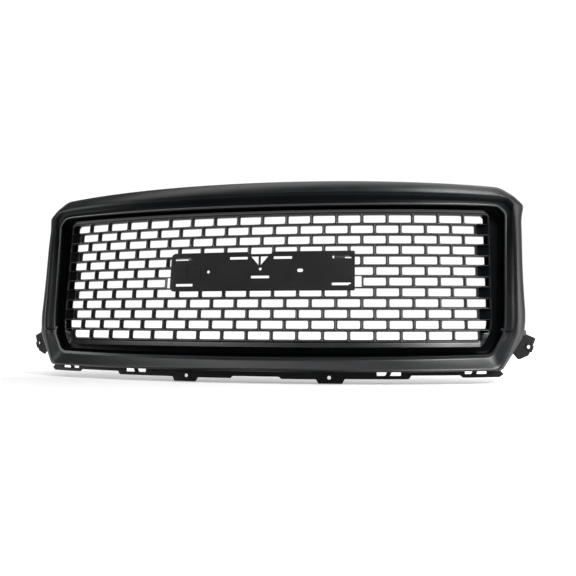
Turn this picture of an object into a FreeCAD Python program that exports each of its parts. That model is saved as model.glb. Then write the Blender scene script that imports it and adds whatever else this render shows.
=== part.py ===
import FreeCAD, Part
import os
from math import hypot

# Front grille of a full-size pickup: a moulded surround, a brick-pattern mesh insert, a badge plate,
# a lower rail and the brackets, screws, clips and seals that hold them together.
# Millimetres. +X to the viewer's right, +Y to the rear of the vehicle, +Z up.
# The origin lies midway between the two lower mounting holes, half-way through the rail's thickness.
# Outlines are given about the mesh centre, and point() moves them into this frame.

V = FreeCAD.Vector

# Where the mesh centre stands from the origin, and how the whole face is swept and leans.
MESH_Y = 38.24
MESH_Z = 217.0
SWEEP_2 = 2.57e-4
SWEEP_4 = 2.06e-10
LEAN = 0.153

# Mesh pattern.
PITCH_X = 56.0
PITCH_Z = 23.6
ROWS = 12
ODD_ROW_CELLS = 18
CELL_W = 49.0
CELL_H = 16.6
CELL_CORNER = 4.0
MESH_FRONT = -5.0
MESH_BACK = 7.0

# Surround section depths, from the sweep surface: negative is towards the front.
SILHOUETTE_DEPTH = -19.0
CREST_DEPTH = -29.0
LIP_DEPTH = -14.0
FLOOR_DEPTH = 9.0
WALL = 3.0
ROLL_START = 50.0
ROLL_RATE = 6.0e-4
FLARE_START = -130.0
FLARE_RATE = 0.075
RETURN_DEPTH = 26.0
RETURN_LOW = -15.0
RETURN_FADE_TOP = -98.0
RETURN_FADE = 26.0
# How far the return flange and the moat wall lean inwards from front to back.
RETURN_LEAN = 1.5
MOAT_LEAN = 4.0

# Mesh rim.
RIM_FRONT = -13.0
RIM_BACK = 8.7

# Badge plate.
BADGE_HALF_W = 210.0
BADGE_BOTTOM = -32.0
BADGE_TOP = 56.0
BADGE_MID = 0.5 * (BADGE_BOTTOM + BADGE_TOP)
BADGE_T = 3.0
BADGE_FRONT = -13.0
BADGE_CORNER = 8.0

# Lower rail.
RAIL_FRONT = -13.0
RAIL_T = 3.0
RAIL_TOP = -181.0
HOLE_X = 157.0
HOLE_Z = -217.0
HOLE_R = 4.5

# Fasteners.
SCREW_R = 2.0
HEAD_R = 4.0
HEAD_H = 2.6
RECESS_R = 1.3
RECESS_DEPTH = 1.4
SCREW_CLEARANCE = 0.15
PASSAGE_R = SCREW_R + 0.1

# Spare length of a cutting tool past the surface it cuts.
SPARE = 1.0
SPARE_LONG = 20.0

# Outlines of the surround and the rim: the right half, as corners (x, z, cut) from the top down.
# A corner is rounded off from "cut" before it to "cut" after it.
# "crown" raises the top edge and "sag" lowers the bottom edge at the middle.
SILHOUETTE = {
    "corners": [(534, 208, 13), (567, 188, 7), (589, 166, 7), (581, 134, 13),
                (576, 10, 60), (578, -101, 30), (571, -131, 14), (519, -203, 8)],
    "crown": 12, "sag": 2,
}
CREST = {
    "corners": [(518, 181, 8), (548, 179, 4), (561, 166, 5), (561, 134, 12),
                (556, 10, 60), (552, -100, 20), (547, -131, 16), (511, -198, 14)],
    "crown": 7, "sag": 3,
}
LIP = {
    "corners": [(508, 160, 8), (527, 158, 6), (541, 144, 6), (541, 128, 8),
                (535, 10, 60), (530, -100, 20), (525, -126, 12), (498, -170, 14)],
    "crown": -1, "sag": 6,
}
RIM = {
    "corners": [(470, 150, 4), (494, 150, 5), (506, 140, 5), (506, 118, 8),
                (505, 10, 60), (503, -100, 12), (499, -122, 8), (477, -154, 6)],
    "crown": 0, "sag": 0,
}
RIM_INNER = {
    "corners": [(464, 141, 4), (482, 141, 4), (492, 132, 4), (492, 114, 8),
                (492, 10, 60), (490, -100, 7), (486, -116, 6), (465, -142, 5)],
    "crown": 0, "sag": 0,
}
FLOOR_EDGE = {
    "corners": [(468, 141, 4), (486, 141, 4), (494, 134, 4), (494, 116, 8),
                (494, 10, 60), (493, -100, 9), (490, -118, 8), (467, -143, 5)],
    "crown": 0, "sag": 0,
}

TOP_SAMPLES = 8
SIDE_SAMPLES = 4
ARC_SAMPLES = 5


def sweep(x, z):
    """Return how far the sweep surface lies behind the mesh centre."""
    return SWEEP_2 * x ** 2 + SWEEP_4 * x ** 4 + LEAN * z


def point(x, z, depth):
    """Return the row-frame point at x, z about the mesh centre, depth behind the sweep surface."""
    return V(x, MESH_Y + sweep(x, z) + depth, MESH_Z + z)


def between(a, b, t):
    """Return the 2D point a share t of the way from a to b."""
    return (a[0] + (b[0] - a[0]) * t, a[1] + (b[1] - a[1]) * t)


def half_outline(outline):
    """Return the right half of an outline, top centre to bottom centre, and its segment ends."""
    corners = outline["corners"]
    first, last = corners[0], corners[-1]
    knots = [(0, first[1])] + [c[:2] for c in corners] + [(0, last[1])]
    points = [knots[0]]
    ends = []
    for i, (x, z, cut) in enumerate(corners, start=1):
        before, after = knots[i - 1], knots[i + 1]
        start = between((x, z), before, cut / hypot(x - before[0], z - before[1]))
        stop = between((x, z), after, cut / hypot(x - after[0], z - after[1]))
        steps = TOP_SAMPLES if i == 1 else SIDE_SAMPLES
        base = points[-1]
        points += [between(base, start, k / steps) for k in range(1, steps + 1)]
        ends.append(len(points) - 1)
        for k in range(1, ARC_SAMPLES + 1):
            t = k / ARC_SAMPLES
            points.append(between(between(start, (x, z), t), between((x, z), stop, t), t))
        ends.append(len(points) - 1)
    base = points[-1]
    points += [between(base, knots[-1], k / TOP_SAMPLES) for k in range(1, TOP_SAMPLES + 1)]

    def bowed(x, z):
        if z > 0:
            return x, z + outline["crown"] * max(0, 1 - (x / first[0]) ** 2)
        return x, z - outline["sag"] * max(0, 1 - (x / last[0]) ** 2)

    return [bowed(x, z) for x, z in points], ends


def loop(outline, inset=0.0):
    """Return the whole outline as (x, z) points, clockwise from the top centre, moved inwards."""
    half, _ = half_outline(outline)
    points = half + [(-x, z) for x, z in half[-2:0:-1]]
    count = len(points)
    moved = []
    for i, (x, z) in enumerate(points):
        ax, az = points[i - 1]
        bx, bz = points[(i + 1) % count]
        length = hypot(bx - ax, bz - az)
        moved.append((x + (bz - az) / length * inset, z - (bx - ax) / length * inset))
    return moved


def loop_segments():
    """Return the index lists of the smooth stretches that make up every loop."""
    half, ends = half_outline(RIM)
    count = 2 * len(half) - 2
    marks = ends + [count - e for e in reversed(ends)]
    spans = zip(marks, marks[1:] + [marks[0] + count])
    return [[i % count for i in range(a, b + 1)] for a, b in spans]


SEGMENTS = loop_segments()


def ring(outline, depth, inset=0.0):
    """Return a loop in space; depth is a number or a function of z about the mesh centre."""
    depth_at = depth if callable(depth) else (lambda z: depth)
    return [point(x, z, depth_at(z)) for x, z in loop(outline, inset)]


def spline_edge(points):
    """Return a smooth edge through the points."""
    curve = Part.BSplineCurve()
    curve.interpolate(points)
    return curve.toShape()


def ring_solid(rings):
    """Return the closed solid whose section is the polygon of the rings, taken in order."""
    wires = [Part.Wire([spline_edge([r[i] for i in seg]) for seg in SEGMENTS]) for r in rings]
    solid = Part.makeSolid(Part.makeLoft(wires, False, True, True))
    if solid.Volume < 0:
        solid.reverse()
    return solid


def slab(z_low, z_high, half_width, front, back):
    """Return a plate bent to the sweep surface between two depths."""
    steps = 12
    xs = [half_width * (2 * k / steps - 1) for k in range(steps + 1)]
    near = [point(x, z_low, front) for x in xs]
    far = [point(x, z_low, back) for x in xs]
    edges = [spline_edge(near), Part.makeLine(near[-1], far[-1]), spline_edge(far),
             Part.makeLine(far[0], near[0])]
    face = Part.Face(Part.Wire(Part.sortEdges(edges)[0]))
    height = z_high - z_low
    return face.extrude(V(0, LEAN * height, height))


FAR_FRONT = -120.0
FAR_BACK = 260.0
BENT_MARGIN = 5.0


def prism(points):
    """Return the polygon (x, z about the mesh centre) drawn out along Y through the whole part."""
    ring_points = [V(x, FAR_FRONT, MESH_Z + z) for x, z in points]
    face = Part.Face(Part.makePolygon(ring_points + ring_points[:1]))
    return face.extrude(V(0, FAR_BACK - FAR_FRONT, 0))


def rounded_box(x, z, width, height, corner):
    """Return a round-cornered rectangle drawn out along Y through the whole part."""
    box = Part.makeBox(width, FAR_BACK - FAR_FRONT, height,
                       V(x - width / 2, FAR_FRONT, MESH_Z + z - height / 2))
    return box.makeFillet(corner, [e for e in box.Edges if abs(e.tangentAt(e.FirstParameter).y) > 0.9])


def drill(x, z, radius):
    """Return a cylinder along Y through the whole part."""
    return Part.makeCylinder(radius, FAR_BACK - FAR_FRONT, V(x, FAR_FRONT, MESH_Z + z), V(0, 1, 0))


def bent(outline, front, back):
    """Return a plate of the given (x, z) outline, bent to the sweep surface between two depths."""
    low = min(z for _, z in outline) - BENT_MARGIN
    high = max(z for _, z in outline) + BENT_MARGIN
    half_width = max(abs(x) for x, _ in outline) + BENT_MARGIN
    return slab(low, high, half_width, front, back).common(prism(outline))


def oblong(left, right, low, high):
    """Return the corners of an upright rectangle as (x, z) points."""
    return [(left, low), (right, low), (right, high), (left, high)]


def flipped(outline, side):
    """Return the outline as it is for side 1, or mirrored for side -1."""
    return [(side * x, z) for x, z in outline]


# ---- depths that change with height -------------------------------------------------------------

def rolled(base):
    """Return the depth function that rolls back at the top and flares forward at the bottom."""
    def depth(z):
        roll = ROLL_RATE * max(0.0, z - ROLL_START) ** 2
        flare = FLARE_RATE * max(0.0, FLARE_START - z)
        return base + roll - flare
    return depth


def return_depth(z):
    """Return the depth of the rear edge of the surround's return flange."""
    low = min(1.0, max(0.0, (RETURN_FADE_TOP - z) / RETURN_FADE))
    return (1 - low) * (rolled(SILHOUETTE_DEPTH)(z) + RETURN_DEPTH) + low * RETURN_LOW


def shifted(depth, by):
    """Return a depth function moved back by a fixed amount."""
    return lambda z: depth(z) + by


# ---- fasteners ----------------------------------------------------------------------------------

# Insert screws as (x, z, length): long ones above and below the mesh, short ones at its sides.
EDGE_SCREW_X = (-450, -300, -150, 0, 150, 300, 450)
EDGE_SCREW_Z = (145.5, -148.5)
EDGE_SCREW_LENGTH = 13.0
RIM_SCREW_X = 498.0
RIM_SCREW_ROWS = (2, 6, 10)
RIM_SCREW_LENGTH = 9.0
INSERT_SCREWS = [(x, z, EDGE_SCREW_LENGTH) for z in EDGE_SCREW_Z for x in EDGE_SCREW_X]
INSERT_SCREWS += [(side * RIM_SCREW_X, PITCH_Z * (0.5 * (ROWS + 1) - row), RIM_SCREW_LENGTH)
                  for side in (-1, 1) for row in RIM_SCREW_ROWS]
# How far an insert screw's shank passes through the moat floor before it enters the mesh rim.
INSERT_PASSAGE = 2.0

# The other screws as (x, z) about the mesh centre.
RAIL_SCREWS = [(side * x, -190.5) for side in (-1, 1) for x in (60, 230, 400, 485)]
RAIL_SCREW_LENGTH = 9.0
BADGE_SCREWS = [(side * 200.0, z) for side in (-1, 1) for z in (-23.5, 47.3)]
BADGE_SCREW_LENGTH = 16.0
BRACKET_X = (-330.0, 0.0, 330.0)
BRACKET_SCREW_X = 14.0
BRACKET_SCREW_Z = 173.0
BRACKET_SCREW_LENGTH = 12.0
BRACKET_SCREWS = [(x + side * BRACKET_SCREW_X, BRACKET_SCREW_Z) for x in BRACKET_X for side in (-1, 1)]
SIDE_SCREWS = [(563.0, -98.0), (553.0, -141.0)]
SIDE_PLACES = [(side * x, z) for side in (-1, 1) for x, z in SIDE_SCREWS]
SIDE_SCREW_LENGTH = 9.0

# Depths of the faces that the brackets rest on, and the side brackets' thickness.
UPPER_SEAT = 16.0
SIDE_SEAT = -12.0
SIDE_T = 2.5


def face_axis(x):
    """Return the rearward normal of the sweep surface at x."""
    return V(-2 * SWEEP_2 * x - 4 * SWEEP_4 * x ** 3, 1, -LEAN).normalize()


def screw(x, z, seat, length):
    """Return a pan-head screw driven forwards, its head behind the face at depth seat."""
    axis = face_axis(x)
    base = point(x, z, seat) + axis * SCREW_CLEARANCE
    shank = Part.makeCylinder(SCREW_R - SCREW_CLEARANCE, length, base - axis * length, axis)
    head = Part.makeCylinder(HEAD_R, HEAD_H, base, axis)
    recess = Part.makeCylinder(RECESS_R, RECESS_DEPTH, base + axis * (HEAD_H - RECESS_DEPTH), axis)
    return shank.fuse(head).removeSplitter().cut(recess)


def pilot(x, z, seat, length, radius=SCREW_R):
    """Return the hole for a screw that enters at depth seat and runs forwards by length."""
    axis = face_axis(x)
    return Part.makeCylinder(radius, length + 2 * SPARE, point(x, z, seat) + axis * SPARE, axis * -1)


def group(shapes):
    """Return separate solids as one compound."""
    return Part.makeCompound(shapes)


# ---- surround -----------------------------------------------------------------------------------

HALF_WALL = 0.5 * WALL
BOSS_START = -45.0
BOSS_REACH = 40.0
BOSS_R = 4.6
RAIL_BOSS_R = 3.8
BOSS_GAP = 0.2
SHORT_PILOT = 8.0
LONG_PILOT = 12.0
FLOOR_HOLE_SPARE = 3.0


def boss(x, z, front, back, radius):
    """Return a boss along the face normal between two depths."""
    return Part.makeCylinder(radius, back - front, point(x, z, back), face_axis(x) * -1)


def surround_shell():
    """Moulded outer frame: return flange, outer face, inner face, lip, moat wall and moat floor."""
    outer = rolled(SILHOUETTE_DEPTH)
    crest = rolled(CREST_DEPTH)
    body = ring_solid([
        ring(SILHOUETTE, return_depth, RETURN_LEAN),
        ring(SILHOUETTE, outer),
        ring(CREST, crest),
        ring(LIP, LIP_DEPTH),
        ring(LIP, FLOOR_DEPTH, MOAT_LEAN),
        ring(FLOOR_EDGE, FLOOR_DEPTH),
        ring(FLOOR_EDGE, FLOOR_DEPTH + WALL),
        ring(LIP, FLOOR_DEPTH + WALL, MOAT_LEAN - WALL),
        ring(LIP, LIP_DEPTH + WALL, -WALL),
        ring(CREST, shifted(crest, WALL)),
        ring(SILHOUETTE, shifted(outer, WALL), WALL),
        ring(SILHOUETTE, return_depth, RETURN_LEAN + WALL),
    ])
    inside = ring_solid([
        ring(SILHOUETTE, shifted(outer, HALF_WALL), HALF_WALL),
        ring(CREST, shifted(crest, HALF_WALL)),
        ring(LIP, LIP_DEPTH + HALF_WALL, -HALF_WALL),
        ring(LIP, BOSS_REACH, -HALF_WALL),
        ring(SILHOUETTE, BOSS_REACH, HALF_WALL),
    ])
    seats = [(x, z, RAIL_FRONT, RAIL_BOSS_R, SHORT_PILOT) for x, z in RAIL_SCREWS]
    seats += [(x, z, UPPER_SEAT, BOSS_R, LONG_PILOT) for x, z in BRACKET_SCREWS]
    seats += [(x, z, SIDE_SEAT, BOSS_R, SHORT_PILOT) for x, z in SIDE_PLACES]
    body = body.cut([floor_hole(x, z) for x, z, _ in INSERT_SCREWS])
    for x, z, seat, radius, deep in seats:
        post = boss(x, z, BOSS_START, seat - BOSS_GAP, radius).common(inside)
        body = body.fuse(post.cut(pilot(x, z, seat, deep)))
    return body


def floor_hole(x, z):
    """Return the clearance hole of an insert screw through the moat floor."""
    start = point(x, z, FLOOR_DEPTH - FLOOR_HOLE_SPARE)
    return Part.makeCylinder(PASSAGE_R, WALL + 2 * FLOOR_HOLE_SPARE, start, face_axis(x))


# ---- mesh insert --------------------------------------------------------------------------------

MESH_HALF_W = 520.0
MESH_HALF_H = 170.0
# Opening in the mesh behind the badge plate.
WINDOW_HALF_W = 192.5
WINDOW_BOTTOM = -20.1
WINDOW_TOP = 43.7
MESH_PASSAGE = 14.0


def cells():
    """Return the (x, z) centre of every cell outside the window behind the badge plate."""
    centres = []
    for row in range(1, ROWS + 1):
        z = (0.5 * (ROWS + 1) - row) * PITCH_Z
        count = ODD_ROW_CELLS if row % 2 else ODD_ROW_CELLS - 1
        for k in range(count):
            x = (k - 0.5 * (count - 1)) * PITCH_X
            inside = abs(x) + 0.5 * CELL_W < WINDOW_HALF_W and WINDOW_BOTTOM < z < WINDOW_TOP
            if not inside:
                centres.append((x, z))
    return centres


def mesh_insert():
    """Brick-pattern mesh with a raised rim, bent to the sweep of the face."""
    body = slab(-MESH_HALF_H, MESH_HALF_H, MESH_HALF_W, RIM_FRONT, RIM_BACK).common(prism(loop(RIM)))
    body = body.cut(bent(loop(RIM_INNER), RIM_FRONT - SPARE_LONG, MESH_FRONT))
    body = body.cut(bent(loop(RIM_INNER), MESH_BACK, RIM_BACK + SPARE_LONG))
    window = Part.makeBox(2 * WINDOW_HALF_W, FAR_BACK - FAR_FRONT, WINDOW_TOP - WINDOW_BOTTOM,
                          V(-WINDOW_HALF_W, FAR_FRONT, MESH_Z + WINDOW_BOTTOM))
    cuts = [rounded_box(x, z, CELL_W, CELL_H, CELL_CORNER) for x, z in cells()]
    cuts += [pilot(x, z, RIM_BACK, length - INSERT_PASSAGE) for x, z, length in INSERT_SCREWS]
    cuts += [pilot(x, z, MESH_BACK, MESH_PASSAGE, PASSAGE_R) for x, z in BADGE_SCREWS]
    return body.cut([window] + cuts)


# ---- badge plate --------------------------------------------------------------------------------

SLOT_W = 41.0
SLOT_H = 5.6
SLOT_CORNER = 1.0
SLOTS = [(-179.0, 42.0), (-48.0, 42.0), (52.0, 42.0), (182.0, 42.0), (-175.0, -17.5), (181.0, -17.5),
         (2.0, -1.0)]
# The oblong hole's x, z, width, height and corner radius, and the round holes' x, z and radius.
OBLONG_HOLE = (91.0, 13.0, 12.7, 7.4, 3.6)
ROUND_HOLES = [(-118.0, 12.0, 3.3), (2.0, 17.0, 3.1)]
NOTCH_HALF_W = 27.0
NOTCH_DEPTH = 5.0
NOTCH_CORNER = 2.0
# Standoffs behind the plate, and the depth of their pilot holes.
STANDOFF_R = 5.0
STANDOFF_GAP = 0.1
STANDOFF_PILOT = 5.5
V_TOP = 45.0
V_BOTTOM = 26.0
V_INNER = 2.5
V_OUTER = 19.0


def badge_plate():
    """Flat-faced plate for an emblem, with slots, a V notch and locating holes."""
    plate = slab(BADGE_BOTTOM - SPARE_LONG, BADGE_TOP + SPARE_LONG, BADGE_HALF_W + SPARE_LONG,
                 BADGE_FRONT, BADGE_FRONT + BADGE_T)
    height = BADGE_TOP - BADGE_BOTTOM
    plate = plate.common(rounded_box(0, BADGE_MID, 2 * BADGE_HALF_W, height, BADGE_CORNER))
    cuts = [rounded_box(x, z, SLOT_W, SLOT_H, SLOT_CORNER) for x, z in SLOTS]
    cuts.append(rounded_box(*OBLONG_HOLE))
    cuts.append(rounded_box(0, BADGE_TOP, 2 * NOTCH_HALF_W, 2 * NOTCH_DEPTH, NOTCH_CORNER))
    cuts += [drill(*hole) for hole in ROUND_HOLES]
    cuts += [prism([(side * V_INNER, V_TOP), (side * V_OUTER, V_TOP), (side * V_INNER, V_BOTTOM)])
             for side in (-1, 1)]
    plate = plate.cut(cuts)
    back = MESH_FRONT - STANDOFF_GAP
    feet = [boss(x, z, BADGE_FRONT + SPARE, back, STANDOFF_R) for x, z in BADGE_SCREWS]
    plate = plate.fuse(feet)
    return plate.cut([pilot(x, z, MESH_FRONT, STANDOFF_PILOT) for x, z in BADGE_SCREWS])


BADGE_CLIPS = [(-152.0, 42.0), (176.5, 42.0)]
CLIP_W = 24.0
CLIP_H = 8.0
CLIP_T = 0.8
CLIP_FOLD = 4.0
CLIP_SETBACK = 1.5
CLIP_LAP = 0.2


def badge_spring_clips():
    """Folded spring-steel clips behind the plate's two upper end slots, for an emblem's tabs."""
    solids = []
    for x, z in BADGE_CLIPS:
        middle = point(x, z, BADGE_FRONT + BADGE_T + CLIP_SETBACK)
        left = middle.x - CLIP_W / 2
        leaf = Part.makeBox(CLIP_W, CLIP_T, CLIP_H, V(left, middle.y, middle.z - CLIP_H / 2))
        top = middle.z + CLIP_H / 2 + CLIP_LAP
        fold = Part.makeBox(CLIP_W, CLIP_FOLD, CLIP_T, V(left, middle.y, top - CLIP_T))
        solids.append(leaf.fuse(fold).removeSplitter())
    return group(solids)


# ---- lower rail ---------------------------------------------------------------------------------

# Lower edge of the rail: (from x, to x, z), mirrored; the tabs carry the mounting holes.
RAIL_STEPS = [(0, 53, -216), (53, 132, -220.5), (132, 187, -229), (187, 325, -219.5),
              (325, 432, -212), (432, 516, -217)]
RAIL_WINDOWS = [(265.5, -208, 19), (295.5, -208, 21), (447, -205, 15), (475.5, -205, 20)]
WINDOW_H = 9.0
WINDOW_CORNER = 1.0
STEP_SLANT = 2.5
# Outer end of the rail, from the low corner up.
RAIL_END = [(523, -211), (516, -203), (503, RAIL_TOP)]
RAIL_LOW = -240.0
RAIL_HIGH = -180.0
RAIL_HALF_W = 540.0
# Ledge along the top of the rail: half its width, its thickness and how far it reaches back.
LEDGE_HALF_W = 495.0
LEDGE_T = 2.0
LEDGE_BACK = 10.0
RAIL_PASSAGE = 5.0


def rail_outline():
    """Return the rail's front outline as (x, z) points."""
    lower = [(0, RAIL_STEPS[0][2])]
    for x_from, x_to, z in RAIL_STEPS:
        lower += [(x_from + STEP_SLANT, z), (x_to - STEP_SLANT, z)]
    right = lower[2:] + RAIL_END
    return [(x, z) for x, z in right] + [(-x, z) for x, z in reversed(right)]


def lower_rail():
    """Curved rail under the surround with stepped edge, snap windows and two bolt tabs."""
    web = slab(RAIL_LOW, RAIL_HIGH, RAIL_HALF_W, RAIL_FRONT, RAIL_FRONT + RAIL_T)
    web = web.common(prism(rail_outline()))
    ledge = slab(RAIL_TOP - LEDGE_T, RAIL_TOP, LEDGE_HALF_W, RAIL_FRONT + SPARE, RAIL_FRONT + LEDGE_BACK)
    cuts = [rounded_box(side * x, z, width, WINDOW_H, WINDOW_CORNER)
            for side in (-1, 1) for x, z, width in RAIL_WINDOWS]
    cuts += [drill(side * HOLE_X, HOLE_Z, HOLE_R) for side in (-1, 1)]
    cuts += [pilot(x, z, RAIL_FRONT + RAIL_T, RAIL_PASSAGE, PASSAGE_R) for x, z in RAIL_SCREWS]
    return web.fuse(ledge).cut(cuts)


# Snap clips: places on the right half, slanted outline about the place, thickness and the gap
# that keeps them off the rail.
RAIL_CLIPS = [(280.5, -208.0), (459.5, -205.0)]
RAIL_CLIP_OUTLINE = [(-4, -5.5), (2, -5.5), (4.5, 5.5), (-1.5, 5.5)]
RAIL_CLIP_T = 1.9
RAIL_CLIP_GAP = 0.4


def rail_spring_clips():
    """Slanted snap clips that hook forwards between each pair of windows."""
    solids = []
    for side in (-1, 1):
        for x, z in RAIL_CLIPS:
            seat = point(side * x, z, RAIL_FRONT - RAIL_CLIP_GAP - RAIL_CLIP_T)
            outline = [V(seat.x + side * px, seat.y, seat.z + pz) for px, pz in RAIL_CLIP_OUTLINE]
            face = Part.Face(Part.makePolygon(outline + outline[:1]))
            solids.append(face.extrude(V(0, RAIL_CLIP_T, 0)))
    return group(solids)


# ---- brackets -----------------------------------------------------------------------------------

BRACKET_T = 2.5
BRACKET_HALF_W = 24.0
BRACKET_REACH = 46.0
BRACKET_HOLE_R = 4.25
BRACKET_HOLE_BACK = 32.0
BRACKET_LOW = 165.0
BRACKET_HIGH = 186.0
BRACKET_RELIEF = 1.0
BRACKET_STEPS = 6
BRACKET_PASSAGE = 5.0


def tab_start(x):
    """Return the y where the flat tab of the upper bracket at x begins."""
    return point(abs(x) + BRACKET_HALF_W, BRACKET_HIGH, UPPER_SEAT).y


def upper_bracket(x):
    """L-shaped top bracket: a leg screwed to the surround and a tab that reaches rearwards."""
    left = x - BRACKET_HALF_W
    right = x + BRACKET_HALF_W
    leg = bent(oblong(left, right, BRACKET_LOW, BRACKET_HIGH), UPPER_SEAT, UPPER_SEAT + BRACKET_T)
    half_tab = BRACKET_HALF_W - BRACKET_RELIEF
    xs = [x + half_tab * (2 * k / BRACKET_STEPS - 1) for k in range(BRACKET_STEPS + 1)]
    root = [point(px, BRACKET_HIGH, UPPER_SEAT + 0.5 * BRACKET_T) for px in xs]
    rear = tab_start(x) + BRACKET_REACH
    plan = root + [V(xs[-1], rear, root[0].z), V(xs[0], rear, root[0].z)]
    tab = Part.Face(Part.makePolygon(plan + plan[:1])).extrude(V(0, 0, -BRACKET_T))
    below = V(x, tab_start(x) + BRACKET_HOLE_BACK, root[0].z - BRACKET_T - SPARE)
    hole = Part.makeCylinder(BRACKET_HOLE_R, BRACKET_T + 2 * SPARE, below)
    passages = [pilot(x + side * BRACKET_SCREW_X, BRACKET_SCREW_Z, UPPER_SEAT + BRACKET_T,
                      BRACKET_PASSAGE, PASSAGE_R) for side in (-1, 1)]
    return leg.fuse(tab).cut([hole] + passages)


# Clip nuts: bore, barrel and leaf sizes, the gap to the sheet they grip, and the upper nuts' reach.
NUT_BORE_R = 3.95
NUT_BARREL_R = 5.6
NUT_LEAF = 1.2
NUT_GAP = 0.2
NUT_HALF_W = 7.5
NUT_FRONT = 7.0
NUT_LENGTH = 22.3
NUT_BARREL = 5.0


def upper_clip_nuts():
    """Folded clip nuts pushed onto the two outer upper tabs, round their bolt holes."""
    solids = []
    for x in (BRACKET_X[0], BRACKET_X[2]):
        y = tab_start(x) + BRACKET_HOLE_BACK
        z = MESH_Z + BRACKET_HIGH - BRACKET_T
        wrap = NUT_LEAF + NUT_GAP
        outside = Part.makeBox(2 * NUT_HALF_W, NUT_LENGTH, BRACKET_T + 2 * wrap,
                               V(x - NUT_HALF_W, y - NUT_FRONT, z - wrap))
        inside = Part.makeBox(2 * (NUT_HALF_W + SPARE), NUT_LENGTH - NUT_LEAF, BRACKET_T + 2 * NUT_GAP,
                              V(x - NUT_HALF_W - SPARE, y - NUT_FRONT, z - NUT_GAP))
        barrel = Part.makeCylinder(NUT_BARREL_R, NUT_BARREL, V(x, y, z - NUT_BARREL - NUT_LEAF))
        bore = Part.makeCylinder(NUT_BORE_R, 4 * NUT_BARREL, V(x, y, z - 2 * NUT_BARREL))
        solids.append(outside.cut(inside).fuse(barrel).cut(bore))
    return group(solids)


SIDE_PLATE = [(553, -87), (567, -87), (569, -120), (576, -126), (600, -136), (581, -173),
              (557, -182), (545, -168), (546, -118)]
SIDE_HOLE = (582.0, -154.5)
SIDE_HOLE_R = 4.25
SIDE_PASSAGE = 5.0


def side_bracket(side):
    """Flat tab that reaches outwards past the lower corner of the surround."""
    plate = bent(flipped(SIDE_PLATE, side), SIDE_SEAT, SIDE_SEAT + SIDE_T)
    hole = drill(side * SIDE_HOLE[0], SIDE_HOLE[1], SIDE_HOLE_R)
    passages = [pilot(side * x, z, SIDE_SEAT + SIDE_T, SIDE_PASSAGE, PASSAGE_R) for x, z in SIDE_SCREWS]
    return plate.cut([hole] + passages)


NUT_OUTER = [(572, -159), (587.6, -167), (594.3, -153.3), (578.7, -145.3)]
NUT_SLOT = [(566, -155.9), (586.5, -166.4), (593.2, -152.7), (572.7, -142.2)]


def side_clip_nuts():
    """Folded clip nuts on the side tabs, open towards the middle of the grille."""
    solids = []
    for side in (-1, 1):
        wrap = NUT_LEAF + NUT_GAP
        nut = bent(flipped(NUT_OUTER, side), SIDE_SEAT - wrap, SIDE_SEAT + SIDE_T + wrap)
        slot = bent(flipped(NUT_SLOT, side), SIDE_SEAT - NUT_GAP, SIDE_SEAT + SIDE_T + NUT_GAP)
        bore = drill(side * SIDE_HOLE[0], SIDE_HOLE[1], NUT_BORE_R)
        solids.append(nut.cut([slot, bore]))
    return group(solids)


# ---- seals --------------------------------------------------------------------------------------

SEAL_T = 6.0
SEAL_FRONT = FLOOR_DEPTH + WALL + 0.2
# Half width, low edge and high edge of each strip.
UPPER_SEAL = (470.0, 151.0, 156.0)
LOWER_SEAL = (440.0, -164.0, -154.0)


def seal_strip(half_width, low, high):
    """Foam strip along the rear of the moat floor."""
    return bent(oblong(-half_width, half_width, low, high), SEAL_FRONT, SEAL_FRONT + SEAL_T)


# ---- all nodes ----------------------------------------------------------------------------------

def insert_screws():
    """Screws that hold the rim of the mesh insert to the moat floor."""
    return group([screw(x, z, FLOOR_DEPTH + WALL, length) for x, z, length in INSERT_SCREWS])


def screws(places, seat, length):
    """Return one screw for each place, as separate solids."""
    return group([screw(x, z, seat, length) for x, z in places])


NODES = {
    "surround_shell": surround_shell,
    "mesh_insert": mesh_insert,
    "badge_plate": badge_plate,
    "badge_spring_clips": badge_spring_clips,
    "lower_rail": lower_rail,
    "rail_spring_clips": rail_spring_clips,
    "upper_bracket_left": lambda: upper_bracket(BRACKET_X[0]),
    "upper_bracket_centre": lambda: upper_bracket(BRACKET_X[1]),
    "upper_bracket_right": lambda: upper_bracket(BRACKET_X[2]),
    "upper_clip_nuts": upper_clip_nuts,
    "side_bracket_left": lambda: side_bracket(-1),
    "side_bracket_right": lambda: side_bracket(1),
    "side_clip_nuts": side_clip_nuts,
    "insert_screws": insert_screws,
    "badge_screws": lambda: screws(BADGE_SCREWS, MESH_BACK, BADGE_SCREW_LENGTH),
    "rail_screws": lambda: screws(RAIL_SCREWS, RAIL_FRONT + RAIL_T, RAIL_SCREW_LENGTH),
    "upper_bracket_screws": lambda: screws(BRACKET_SCREWS, UPPER_SEAT + BRACKET_T, BRACKET_SCREW_LENGTH),
    "side_bracket_screws": lambda: screws(SIDE_PLACES, SIDE_SEAT + SIDE_T, SIDE_SCREW_LENGTH),
    "upper_seal_strip": lambda: seal_strip(*UPPER_SEAL),
    "lower_seal_strip": lambda: seal_strip(*LOWER_SEAL),
}

os.makedirs("parts", exist_ok=True)
for name, build in NODES.items():
    shape = build()
    assert shape.isValid(), name
    print(f"{name}: {len(shape.Solids)} solids, {shape.Volume / 1000:.1f} cm3")
    shape.exportStep(f"parts/{name}.step")
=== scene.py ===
from math import cos, hypot, pi, sin

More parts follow.
